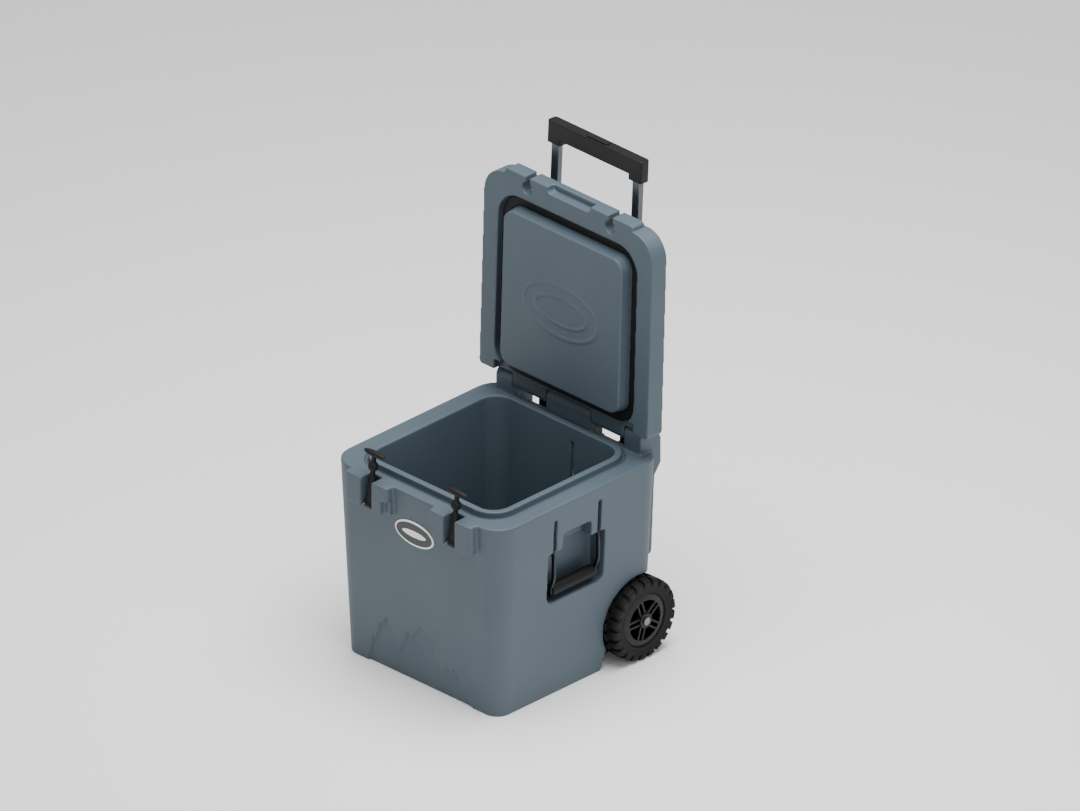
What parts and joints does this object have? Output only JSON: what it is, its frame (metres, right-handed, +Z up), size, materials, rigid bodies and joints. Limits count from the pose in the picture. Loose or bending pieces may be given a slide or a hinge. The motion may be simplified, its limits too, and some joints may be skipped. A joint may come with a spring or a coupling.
{
  "type": "wheeled cooler",
  "caption": "Square hard cooler with a hinged gasketed lid, rubber latches, side carry handles, rear wheels and a telescoping pull handle.",
  "frame": {"origin": "middle of the flat base, on the ground", "axes": "+Z up, +X to the right seen from the front, +Y to the back, where the wheels and pull handle are"},
  "size_m": [0.529, 0.5889, 1.105],
  "materials": {
    "blue_plastic": "satin moulded",
    "black_plastic": "satin",
    "black_rubber": "matte",
    "tyre_rubber": "matte treaded",
    "steel": "brushed",
    "dark_metal": "dark satin",
    "aluminium": "satin anodised",
    "foam": "closed-cell foam",
    "badge": "two-tone"
  },
  "bodies": {
    "body": {"axle": "steel", "body_foam": "foam", "body_shell": "blue_plastic", "bracket_screw_1": "steel", "bracket_screw_2": "steel", "bracket_screw_3": "steel", "bracket_screw_4": "steel", "foam_fill_plug": "black_plastic", "front_badge": "badge", "handle_bracket_lower": "black_plastic", "handle_bracket_upper": "black_plastic", "handle_sleeve_left": "dark_metal", "handle_sleeve_right": "dark_metal", "hinge_pin_left": "steel", "hinge_pin_right": "steel", "latch_pin_left": "steel", "latch_pin_right": "steel", "side_handle_pin_left_back": "steel", "side_handle_pin_left_front": "steel", "side_handle_pin_right_back": "steel", "side_handle_pin_right_front": "steel"},
    "lid": {"lid_shell": "blue_plastic", "lid_foam": "foam", "gasket": "black_rubber", "lid_fill_plug": "black_plastic"},
    "drain": {"drain_cap": "black_plastic"},
    "handle_middle": {"handle_middle_tube_right": "aluminium", "handle_middle_tube_left": "aluminium"},
    "handle_top": {"handle_inner_tube_right": "aluminium", "handle_inner_tube_left": "aluminium", "pull_grip": "black_plastic"},
    "button": {"release_button": "black_plastic"},
    "latch_right": {"latch_strap_right": "black_rubber"},
    "side_handle_right": {"side_handle_bail_right": "dark_metal", "side_handle_grip_right": "black_rubber"},
    "wheel_right": {"tyre_right": "tyre_rubber", "hub_right": "black_plastic", "axle_bolt_right": "steel"},
    "latch_left": {"latch_strap_left": "black_rubber"},
    "side_handle_left": {"side_handle_bail_left": "dark_metal", "side_handle_grip_left": "black_rubber"},
    "wheel_left": {"tyre_left": "tyre_rubber", "hub_left": "black_plastic", "axle_bolt_left": "steel"}
  },
  "joints": [
    {"name": "lid_hinge", "type": "hinge", "parent": "body", "child": "lid", "pos_m": [0, 0.23, 0.4937], "axis": [1, 0, 0], "range_deg": [0, 92]},
    {"name": "drain_pull", "type": "slide", "parent": "body", "child": "drain", "axis": [-1, 0, 0], "range_m": [0, 0.05]},
    {"name": "handle_lower_slide", "type": "slide", "parent": "body", "child": "handle_middle", "axis": [0, 0.0502, 0.9987], "range_m": [-0.27, 0]},
    {"name": "handle_upper_slide", "type": "slide", "parent": "handle_middle", "child": "handle_top", "axis": [0, 0.0502, 0.9987], "range_m": [-0.27, 0]},
    {"name": "button_press", "type": "slide", "parent": "handle_top", "child": "button", "axis": [0, -0.0502, -0.9987], "range_m": [0, 0.0045], "stiffness_N_per_m": 600},
    {"name": "latch_right_pivot", "type": "hinge", "parent": "body", "child": "latch_right", "pos_m": [0.123, -0.259, 0.396], "axis": [1, 0, 0], "range_deg": [0, 90]},
    {"name": "side_handle_right_swing", "type": "hinge", "parent": "body", "child": "side_handle_right", "pos_m": [0.228, -0.007, 0.36], "axis": [0, -1, 0], "range_deg": [0, 100]},
    {"name": "wheel_right_spin", "type": "hinge", "parent": "body", "child": "wheel_right", "pos_m": [0.234, 0.1833, 0.093], "axis": [1, 0, 0], "continuous": true},
    {"name": "latch_left_pivot", "type": "hinge", "parent": "body", "child": "latch_left", "pos_m": [-0.123, -0.259, 0.396], "axis": [1, 0, 0], "range_deg": [0, 90]},
    {"name": "side_handle_left_swing", "type": "hinge", "parent": "body", "child": "side_handle_left", "pos_m": [-0.228, -0.007, 0.36], "axis": [0, 1, 0], "range_deg": [0, 100]},
    {"name": "wheel_left_spin", "type": "hinge", "parent": "body", "child": "wheel_left", "pos_m": [-0.234, 0.1833, 0.093], "axis": [1, 0, 0], "continuous": true}
  ]
}
